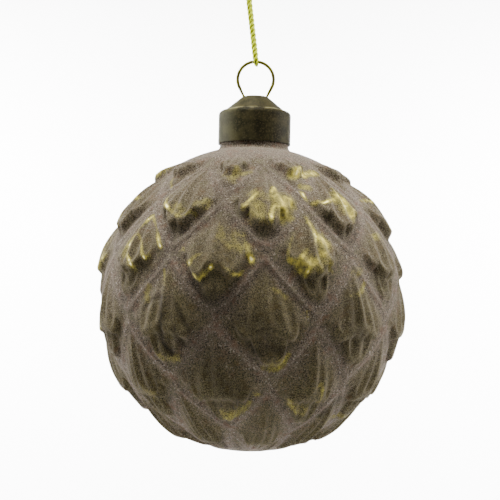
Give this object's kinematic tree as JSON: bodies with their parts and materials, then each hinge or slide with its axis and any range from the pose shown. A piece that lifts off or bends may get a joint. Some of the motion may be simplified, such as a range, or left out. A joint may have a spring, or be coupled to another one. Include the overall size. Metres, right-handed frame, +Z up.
{
  "type": "leaf ball ornament",
  "caption": "Hollow glass hanging ball moulded all over with rows of overlapping lobed leaves, with a pressed brass cap, a wire ring and a knotted cord loop.",
  "frame": {"origin": "top of the inside of the hanger ring, where the cord bears; the ball's centre is straight below it", "axes": "+Z up along the ball's axis, through the neck, cap and ring; +X to the right along the ring's plane; the front faces -Y"},
  "size_m": [0.0786, 0.0794, 0.1254],
  "materials": {
    "flocked_glass": "coated glass, opaque fine-grained mauve-brown flock with gold rubbed on the raised leaf ends",
    "antique_brass": "dull aged brass with worn bright edges",
    "hanger_wire": "smooth drawn wire, aged gold",
    "metallic_cord": "twisted metallic thread, olive gold"
  },
  "bodies": {
    "root": {"glass_ball": "flocked_glass", "cap": "antique_brass", "wire_hanger": "hanger_wire", "hanging_cord": "metallic_cord", "cord_knot": "metallic_cord"}
  },
  "joints": []
}
